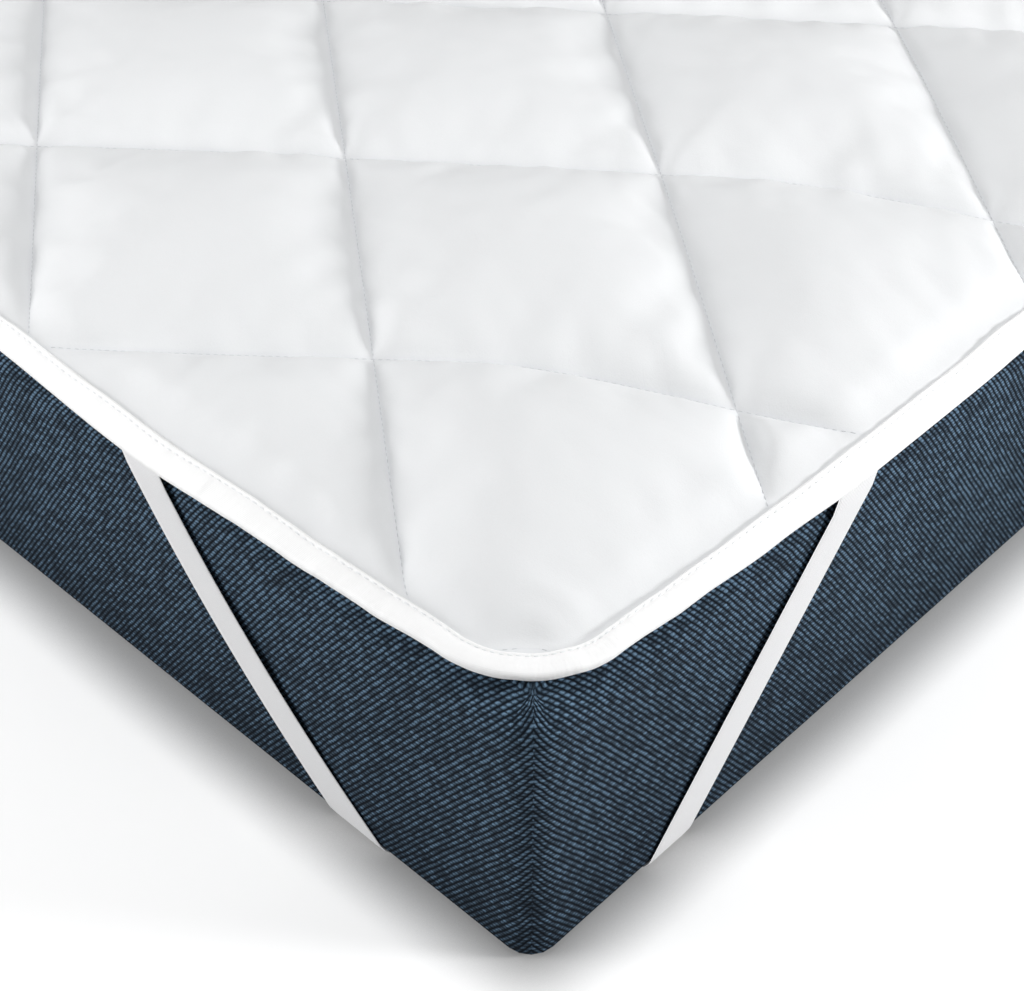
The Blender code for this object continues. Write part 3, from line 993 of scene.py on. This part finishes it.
def start_group(name, inputs, outputs):
    """An empty shader group with the named sockets, ready to be wired."""
    tree = bpy.data.node_groups.new(name, "ShaderNodeTree")
    for label, kind, default in inputs:
        socket = tree.interface.new_socket(label, in_out="INPUT", socket_type=kind)
        if default is not None:
            socket.default_value = default
    for label in outputs:
        kind = COLOR if label == "Color" else NUMBER
        tree.interface.new_socket(label, in_out="OUTPUT", socket_type=kind)
    wiring = Wiring(tree)
    return wiring, wiring.add("NodeGroupInput").outputs, wiring.add("NodeGroupOutput").inputs


def mottled_cloth_group():
    """Uneven tone of cloth: broad drifts and single fibres."""
    w, given, out = start_group(
        "mottled_cloth",
        [("Vector", VECTOR, None), ("Color", COLOR, (1, 1, 1, 1)), ("Drift", NUMBER, 0.02),
         ("Fibre", NUMBER, 0.03), ("Fibre Scale", NUMBER, 900.0)],
        ["Color", "Fibre Height"])
    broad = w.noise(given["Vector"], 9.0, 3.0, 0.55)
    fibre = w.noise(given["Vector"], given["Fibre Scale"], 3.0, 0.6)
    shade = w.swing(fibre, given["Fibre"], w.swing(broad, given["Drift"], 1.0))
    w.give(out["Color"], w.blend(1.0, given["Color"], w.grey(shade), "MULTIPLY"))
    w.give(out["Fibre Height"], fibre)


def plain_weave_group():
    """Crossing threads of a fine plain weave on a surface measured in metres."""
    w, given, out = start_group(
        "plain_weave",
        [("Vector", VECTOR, None), ("Warp Pitch", NUMBER, 0.0006), ("Weft Pitch", NUMBER, 0.0006)],
        ["Height"])
    spot = w.split(given["Vector"])
    threads = []
    for along, pitch in ((spot[0], "Warp Pitch"), (spot[1], "Weft Pitch")):
        turn = w.math("MULTIPLY", w.math("DIVIDE", along, given[pitch]), math.pi)
        threads.append(w.math("ABSOLUTE", w.math("SINE", turn)))
    w.give(out["Height"], w.math("MULTIPLY", *threads))


def seam_pucker_group():
    """Small gathers that run away from each quilting seam and fade into the pillow."""
    w, given, out = start_group(
        "seam_pucker",
        [("Quilt", VECTOR, None), ("Reach", NUMBER, 0.12), ("Pitch", NUMBER, 0.06)],
        ["Height", "Nearness"])
    spot = w.split(given["Quilt"])
    heights = []
    nears = []
    for across, along in ((spot[0], spot[1]), (spot[1], spot[0])):
        seam = w.math("ROUND", across)
        away = w.math("ABSOLUTE", w.math("SUBTRACT", across, seam))
        near = w.math("SUBTRACT", 1.0, w.math("DIVIDE", away, given["Reach"]))
        near = w.math("POWER", w.math("MAXIMUM", near, 0.0), 1.6)
        # the seam's number sets each seam's gathers apart from the next one's
        place_on = w.vector(w.math("DIVIDE", along, given["Pitch"]),
                            w.math("MULTIPLY", seam, 7.3), w.math("MULTIPLY", across, 1.6))
        ripple = w.noise(place_on, 1.0, 2.0, 0.55)
        heights.append(w.math("MULTIPLY", w.math("SUBTRACT", ripple, 0.5), near))
        nears.append(near)
    w.give(out["Height"], w.math("ADD", *heights))
    w.give(out["Nearness"], w.math("MAXIMUM", *nears))


def heather_twill_group():
    """Slanted floats of a two-tone twill, each float with its own tone."""
    w, given, out = start_group(
        "heather_twill",
        [("Vector", VECTOR, None), ("Column", NUMBER, 0.00385), ("Row", NUMBER, 0.0055),
         ("Waver", NUMBER, 0.25)],
        ["Light", "Height"])
    spot = w.split(given["Vector"])
    bend = w.noise(given["Vector"], 85.0, 2.0, 0.6)
    bend = w.math("MULTIPLY", w.math("SUBTRACT", bend, 0.5), given["Waver"])
    column = w.math("ADD", w.math("DIVIDE", spot[0], given["Column"]), bend)
    row = w.math("DIVIDE", spot[1], given["Row"])
    # slanted lines, each with a ridge along its middle
    line = w.math("ADD", column, row)
    ridge = w.math("COSINE", w.math("MULTIPLY", line, 2 * math.pi))
    ridge = w.math("MULTIPLY_ADD", ridge, 0.5, 0.5)
    # floats along a line, pinched where they dive under
    along = w.math("MULTIPLY_ADD", row, 2.0, bend)
    body = w.math("ABSOLUTE", w.math("SINE", w.math("MULTIPLY", along, math.pi)))
    height = w.math("MULTIPLY", ridge, w.math("MULTIPLY_ADD", body, 0.8, 0.2))
    # a tone drawn for every float, and finer fibres within it
    cell = w.vector(w.math("ROUND", line), w.math("FLOOR", along), 0.0)
    fleck = w.add("ShaderNodeTexWhiteNoise", {"Vector": cell}, noise_dimensions="3D")
    fibre = w.noise(given["Vector"], 1300.0, 2.0, 0.6)
    tone = w.math("POWER", fleck.outputs["Value"], 1.5)
    tone = w.math("MULTIPLY_ADD", tone, 1.3, 0.40)
    tone = w.math("MULTIPLY", tone, w.fit(fibre, 0.3, 0.7, 0.3, 1.7))
    w.give(out["Light"], w.math("MULTIPLY", w.math("POWER", height, 1.2), tone))
    w.give(out["Height"], height)


def start_material(name, roughness, sheen, specular):
    mat = bpy.data.materials.new(name)
    mat.use_nodes = True
    mat.node_tree.nodes.clear()
    w = Wiring(mat.node_tree)
    w.shader = w.add("ShaderNodeBsdfPrincipled", {
        "Roughness": roughness, "Sheen Weight": sheen, "Sheen Roughness": SHEEN_ROUGHNESS,
        "Specular IOR Level": specular})
    w.add("ShaderNodeOutputMaterial", {0: w.shader.outputs[0]})
    return mat, w


def microfibre(settings):
    """Brushed white cloth of the quilted top."""
    mat, w = start_material("brushed_microfibre", roughness=0.85, sheen=0.15, specular=0.25)
    cloth = w.uv()
    color, fibre = w.mottle(cloth, settings.cloth_color, 0.03, 0.05, 1100.0)
    pucker = w.group("seam_pucker", {"Quilt": w.uv("quilt"), "Reach": 0.14, "Pitch": 0.09})
    # painted shade: the cloth is darkened towards grey next to each quilting seam, where shade falls in
    # the crease
    painted_seam_shade = w.fit(pucker["Nearness"], 0.85, 1.0, 0.0, 0.15)
    w.feed("Base Color", w.blend(painted_seam_shade, color, SEAM_PAINTED_SHADE))
    crumple = w.noise(cloth, 42.0, 3.0, 0.55)
    soft = w.bump(crumple, strength=0.12, distance=0.0030)
    gather = w.bump(pucker["Height"], strength=0.10, distance=0.0040, over=soft)
    w.feed("Normal", w.bump(fibre, strength=0.5, distance=0.00025, over=gather))
    w.feed("Roughness", w.fit(fibre, 0.3, 0.7, 0.78, 0.95))
    return mat


def folded_tape(settings):
    """Woven white tape of the binding."""
    mat, w = start_material("folded_tape", roughness=0.6, sheen=0.1, specular=0.4)
    cloth = w.uv()
    color, _ = w.mottle(cloth, settings.tape_color, 0.03, 0.03, 700.0)
    w.feed("Base Color", color)
    weave = w.group("plain_weave", {"Vector": cloth, "Warp Pitch": 0.0007, "Weft Pitch": 0.0009})
    pull = w.noise(w.stretch(cloth, (150.0, 40.0, 1.0)), 1.0, 2.0, 0.5)
    gather = w.bump(pull, strength=0.6, distance=0.0012)
    w.feed("Normal", w.bump(weave["Height"], strength=0.5, distance=0.0002, over=gather))
    w.feed("Roughness", w.fit(weave["Height"], 0.0, 1.0, 0.68, 0.5))
    return mat


def ribbed_elastic(settings):
    """Flat elastic with covered rubber cords along it and a fine weft."""
    mat, w = start_material("ribbed_elastic", roughness=0.55, sheen=0.1, specular=0.4)
    cloth = w.uv()
    color, _ = w.mottle(cloth, settings.elastic_color, 0.04, 0.04, 800.0)
    turn = w.math("MULTIPLY", w.split(cloth)[1], math.pi / RIB_PITCH)
    cords = w.math("ABSOLUTE", w.math("SINE", turn))
    # painted shade: the elastic is darkened towards grey in the valleys between the cords
    painted_rib_shade = w.fit(cords, 0.0, 0.45, 0.25, 0.0)
    w.feed("Base Color", w.blend(painted_rib_shade, color, RIB_PAINTED_SHADE))
    weave = w.group("plain_weave", {"Vector": cloth, "Warp Pitch": 0.0008,
                                    "Weft Pitch": RIB_PITCH})
    ribs = w.bump(cords, strength=0.6, distance=0.0005)
    w.feed("Normal", w.bump(weave["Height"], strength=0.5, distance=0.0002, over=ribs))
    w.feed("Roughness", w.fit(cords, 0.0, 1.0, 0.7, 0.5))
    return mat


def spun_thread(name, color):
    """Sewing thread with a fine twist."""
    mat, w = start_material(name, roughness=0.5, sheen=0.0, specular=0.4)
    color, fibre = w.mottle(w.on_object(), color, 0.04, 0.10, 1500.0)
    w.feed("Base Color", color)
    w.feed("Normal", w.bump(fibre, strength=0.4, distance=0.0001))
    return mat


def navy_cover(settings):
    """Heathered navy twill of the mattress."""
    mat, w = start_material("heather_navy_twill", roughness=0.8, sheen=0.0, specular=0.15)
    cloth = w.uv()
    # a whole number of columns in this gap carries the pattern over the last corner too
    gap = 2 * (HALF_Y - HALF_X)
    column = gap / round(gap / settings.twill_column)
    twill = w.group("heather_twill", {"Vector": cloth, "Column": column,
                                      "Row": settings.twill_row, "Waver": 0.45})
    streak = w.noise(w.stretch(cloth, (18.0, 260.0, 1.0)), 1.0, 3.0, 0.6)
    patch = w.noise(cloth, 11.0, 2.0, 0.5)
    light = w.math("MULTIPLY", twill["Light"], w.fit(streak, 0.25, 0.75, 0.75, 1.25))
    light = w.math("MULTIPLY", light, w.fit(patch, 0.25, 0.75, 0.9, 1.1))
    # painted shade: the pale flecks are dimmed towards the floor, so the cover is darker at its foot
    # where shade falls
    light = w.math("MULTIPLY", light, w.fit(w.split(cloth)[1], 0.0, 0.13, 0.50, 1.0))
    w.feed("Base Color", w.blend(light, (*settings.cover_dark, 1), (*settings.cover_light, 1)))
    lint = w.noise(cloth, 2200.0, 2.0, 0.6)
    fuzz = w.bump(lint, strength=0.4, distance=0.0003)
    w.feed("Normal", w.bump(twill["Height"], strength=0.8, distance=0.0011, over=fuzz))
    w.feed("Roughness", w.fit(twill["Height"], 0.0, 1.0, 0.95, 0.72))
    return mat


def studio_floor(settings):
    """Matt white sweep, with a painted contact shadow: darker where something stands on it."""
    mat, w = start_material("studio_floor", roughness=0.9, sheen=0.0, specular=0.2)
    spot = w.on_object()
    tone, _ = w.mottle(spot, (FLOOR_TONE, FLOOR_TONE, FLOOR_TONE), 0.01, 0.01, 300.0)
    eye = w.add("ShaderNodeLightPath").outputs["Is Camera Ray"]
    # painted contact shadow: the floor seen by the camera is darkened by ambient occlusion near the
    # mattress
    near = w.add("ShaderNodeAmbientOcclusion", {"Distance": settings.contact_shadow_reach}, samples=8)
    shade = w.fit(near.outputs["AO"], 0.5, 1.0, 0.52, 1.0)
    seen = w.blend(1.0, tone, w.grey(shade), "MULTIPLY")
    w.feed("Base Color", w.blend(eye, (settings.floor_bounce,) * 3 + (1,), seen))
    reach = w.add("ShaderNodeVectorMath", {0: spot}, operation="LENGTH").outputs["Value"]
    lit = w.fit(reach, *FLOOR_GLOW_REACH, settings.floor_glow, settings.far_glow)
    w.feed("Emission Color", w.blend(eye, (0, 0, 0, 1), w.grey(lit)))
    w.feed("Emission Strength", 1.0)
    return mat


def dress(obj, mat):
    obj.data.materials.clear()
    obj.data.materials.append(mat)


# ---------------------------------------------------------------- settings

class TopperSettings(bpy.types.PropertyGroup):
    cloth_steps: bpy.props.IntProperty(
        name="Cloth Steps", description="Mesh steps along each diamond's side", default=20,
        min=8, max=32)
    fullness: bpy.props.FloatProperty(
        name="Fullness", description="Spare cloth in each quilted pillow", default=0.010,
        subtype="FACTOR", min=0.0, max=0.2)
    settle_frames: bpy.props.IntProperty(
        name="Settle Frames", description="Frames of cloth simulation", default=14, min=4, max=60)
    flank_steepness: bpy.props.FloatProperty(
        name="Flank Power", description="Below one the pillows are flatter on top and steeper",
        default=0.90, min=0.3, max=1.5)
    quilt_stitch: bpy.props.FloatProperty(
        name="Quilting Stitch", description="Length of one quilting stitch", default=0.0045,
        unit="LENGTH")
    tape_stitch: bpy.props.FloatProperty(
        name="Binding Stitch", description="Length of one stitch on the binding", default=0.0056,
        unit="LENGTH")
    thread: bpy.props.FloatProperty(
        name="Thread", description="Thickness of the sewing thread", default=0.0005, unit="LENGTH")
    tape_pucker: bpy.props.FloatProperty(
        name="Tape Pucker", description="How far the binding swells between gathers",
        default=0.0006, unit="LENGTH")
    tape_wander: bpy.props.FloatProperty(
        name="Tape Wander", description="How far the binding's edge strays", default=0.0005,
        unit="LENGTH")
    cloth_color: bpy.props.FloatVectorProperty(
        name="Top Cloth", description="Colour of the quilted cloth", default=(0.77, 0.78, 0.79),
        subtype="COLOR", min=0, max=1)
    tape_color: bpy.props.FloatVectorProperty(
        name="Binding Tape", description="Colour of the binding", default=(0.95, 0.95, 0.95),
        subtype="COLOR", min=0, max=1)
    thread_color: bpy.props.FloatVectorProperty(
        name="Quilting Thread", description="Colour of the thread sunk in the quilting seams",
        default=(0.60, 0.61, 0.63), subtype="COLOR", min=0, max=1)
    tape_thread_color: bpy.props.FloatVectorProperty(
        name="Binding Thread", description="Colour of the thread on the binding",
        default=(0.84, 0.85, 0.86), subtype="COLOR", min=0, max=1)


class MattressSettings(bpy.types.PropertyGroup):
    twill_column: bpy.props.FloatProperty(
        name="Twill Column", description="Width of one column of the cover's twill",
        default=0.00385, unit="LENGTH")
    twill_row: bpy.props.FloatProperty(
        name="Twill Row", description="Height of one row of the cover's twill", default=0.0054,
        unit="LENGTH")
    side_slack: bpy.props.FloatProperty(
        name="Side Slack", description="How far the sides draw in", default=0.0020,
        unit="LENGTH")
    cover_dark: bpy.props.FloatVectorProperty(
        name="Cover Dark", description="Dark thread of the cover", default=(0.0025, 0.0055, 0.0105),
        subtype="COLOR", min=0, max=1)
    cover_light: bpy.props.FloatVectorProperty(
        name="Cover Light", description="Light thread of the cover", default=(0.138, 0.232, 0.340),
        subtype="COLOR", min=0, max=1)
    elastic_color: bpy.props.FloatVectorProperty(
        name="Elastic", description="Colour of the corner straps", default=(0.95, 0.95, 0.96),
        subtype="COLOR", min=0, max=1)


class StageSettings(bpy.types.PropertyGroup):
    sky: bpy.props.FloatProperty(
        name="Surround", description="Strength of the soft light all round", default=0.30)
    key: bpy.props.FloatProperty(
        name="Top Light", description="Power of the large lamp overhead", default=48.0,
        unit="POWER")
    left: bpy.props.FloatProperty(
        name="Left Light", description="Power of the low lamp on the left", default=21.0,
        unit="POWER")
    right: bpy.props.FloatProperty(
        name="Right Light", description="Power of the low lamp on the right", default=30.0,
        unit="POWER")
    back: bpy.props.FloatProperty(
        name="Back Light", description="Power of the soft lamp behind", default=10.0,
        unit="POWER")
    floor_glow: bpy.props.FloatProperty(
        name="Floor Glow", description="Extra brightness of the floor", default=0.10)
    far_glow: bpy.props.FloatProperty(
        name="Far Glow", description="Extra brightness of the floor beyond the lamps' reach",
        default=0.70)
    # painted contact shadow: how far the floor is darkened round the mattress's foot
    contact_shadow_reach: bpy.props.FloatProperty(
        name="Contact Reach", description="Width of the dark line where the mattress meets the floor",
        default=0.045, unit="LENGTH")
    floor_bounce: bpy.props.FloatProperty(
        name="Floor Bounce", description="How much light the floor throws back", default=0.60)


# ---------------------------------------------------------------- operators

class MATTRESS_TOPPER_OT_pad(bpy.types.Operator):
    """Make the quilted pad and the thread in its seams"""
    bl_idname = "mattress_topper.pad"
    bl_label = "Quilted Pad"

    def execute(self, context):
        settings = context.scene.topper_settings
        pad = build_pad(settings)
        dress(pad, microfibre(settings))
        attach(pad, "root")
        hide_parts("topper")
        stitches = build_quilt_stitches(settings)
        dress(stitches, spun_thread("quilting_thread", settings.thread_color))
        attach(stitches, "root")
        return {"FINISHED"}


class MATTRESS_TOPPER_OT_binding(bpy.types.Operator):
    """Make the folded tape round the pad and the stitches that hold it"""
    bl_idname = "mattress_topper.binding"
    bl_label = "Binding"

    def execute(self, context):
        settings = context.scene.topper_settings
        tape = build_binding(settings)
        dress(tape, folded_tape(settings))
        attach(tape, "root")
        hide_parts("binding")
        stitches = build_binding_stitches(settings)
        dress(stitches, spun_thread("binding_thread", settings.tape_thread_color))
        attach(stitches, "root")
        return {"FINISHED"}


class MATTRESS_TOPPER_OT_mattress(bpy.types.Operator):
    """Make the foam mattress in its woven cover"""
    bl_idname = "mattress_topper.mattress"
    bl_label = "Mattress"

    def execute(self, context):
        settings = context.scene.mattress_settings
        body = build_mattress(settings)
        dress(body, navy_cover(settings))
        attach(body, "root")
        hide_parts("mattress")
        return {"FINISHED"}


class MATTRESS_TOPPER_OT_straps(bpy.types.Operator):
    """Make the four elastic corner straps"""
    bl_idname = "mattress_topper.straps"
    bl_label = "Corner Straps"

    def execute(self, context):
        elastic = ribbed_elastic(context.scene.mattress_settings)
        for corner, sign_x, sign_y in CORNERS:
            strap, length = build_strap("elastic_" + corner, sign_x, sign_y)
            dress(strap, elastic)
            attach(strap, "root")
            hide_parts("strap_" + corner)
        return {"FINISHED"}


class MATTRESS_TOPPER_OT_stage(bpy.types.Operator):
    """Lay the pale floor and set the lights and the camera"""
    bl_idname = "mattress_topper.stage"
    bl_label = "Stage"

    def execute(self, context):
        settings = context.scene.stage_settings
        deselect()
        bpy.ops.mesh.primitive_circle_add(vertices=96, radius=FLOOR_RADIUS, fill_type="NGON",
                                          location=(0, 0, 0))
        floor = context.active_object
        floor.name = "studio_floor"
        dress(floor, studio_floor(settings))
        world = bpy.data.worlds.new("soft_surround")
        world.use_nodes = True
        sky = world.node_tree.nodes["Background"]
        sky.inputs["Strength"].default_value = settings.sky
        w = Wiring(world.node_tree)
        eye = w.add("ShaderNodeLightPath").outputs["Is Camera Ray"]
        seen = SKY_TONE / settings.sky
        w.give(sky.inputs["Color"], w.blend(eye, (1, 1, 1, 1), (seen, seen, seen, 1)))
        context.scene.world = world
        for name, spot, aim, width, power in LAMPS:
            add_lamp(name, spot, aim, width, getattr(settings, power))
        lens = bpy.data.cameras.new("view")
        lens.lens = CAMERA_LENS
        lens.sensor_width = 36.0
        lens.clip_end = 100.0
        camera = bpy.data.objects.new("view", lens)
        camera.location = CAMERA_PLACE
        camera.rotation_euler = (math.radians(90.0 - CAMERA_DOWN), 0.0, math.radians(CAMERA_TURN))
        context.scene.collection.objects.link(camera)
        context.scene.camera = camera
        context.scene.view_settings.view_transform = "Standard"
        context.scene.view_settings.look = "None"
        return {"FINISHED"}


def add_lamp(name, place_at, aim, size, power):
    lamp = bpy.data.lights.new(name, "AREA")
    lamp.shape = "DISK"
    lamp.size = size
    lamp.energy = power
    obj = bpy.data.objects.new(name, lamp)
    obj.location = place_at
    away = Vector(place_at) - Vector(aim)
    obj.rotation_euler = away.to_track_quat("Z", "Y").to_euler()
    bpy.context.scene.collection.objects.link(obj)


class MATTRESS_TOPPER_PT_panel(bpy.types.Panel):
    bl_label = "Mattress Topper"
    bl_idname = "MATTRESS_TOPPER_PT_panel"
    bl_space_type = "VIEW_3D"
    bl_region_type = "UI"
    bl_category = "Topper"

    def draw(self, context):
        for owner in (context.scene.topper_settings, context.scene.mattress_settings,
                      context.scene.stage_settings):
            box = self.layout.box()
            for name in owner.__annotations__:
                box.prop(owner, name)
        for operator in OPERATORS:
            self.layout.operator(operator.bl_idname)


OPERATORS = (
    MATTRESS_TOPPER_OT_pad,
    MATTRESS_TOPPER_OT_binding,
    MATTRESS_TOPPER_OT_mattress,
    MATTRESS_TOPPER_OT_straps,
    MATTRESS_TOPPER_OT_stage,
)
CLASSES = (TopperSettings, MattressSettings, StageSettings, *OPERATORS, MATTRESS_TOPPER_PT_panel)


def register():
    for cls in CLASSES:
        bpy.utils.register_class(cls)
    bpy.types.Scene.topper_settings = bpy.props.PointerProperty(type=TopperSettings)
    bpy.types.Scene.mattress_settings = bpy.props.PointerProperty(type=MattressSettings)
    bpy.types.Scene.stage_settings = bpy.props.PointerProperty(type=StageSettings)


def unregister():
    del bpy.types.Scene.topper_settings
    del bpy.types.Scene.mattress_settings
    del bpy.types.Scene.stage_settings
    for cls in reversed(CLASSES):
        bpy.utils.unregister_class(cls)


def main():
    register()
    for build in (mottled_cloth_group, plain_weave_group, seam_pucker_group,
                  heather_twill_group):
        build()
    bpy.ops.mattress_topper.pad()
    bpy.ops.mattress_topper.binding()
    bpy.ops.mattress_topper.mattress()
    bpy.ops.mattress_topper.straps()
    bpy.ops.mattress_topper.stage()


if __name__ == "__main__":
    main()
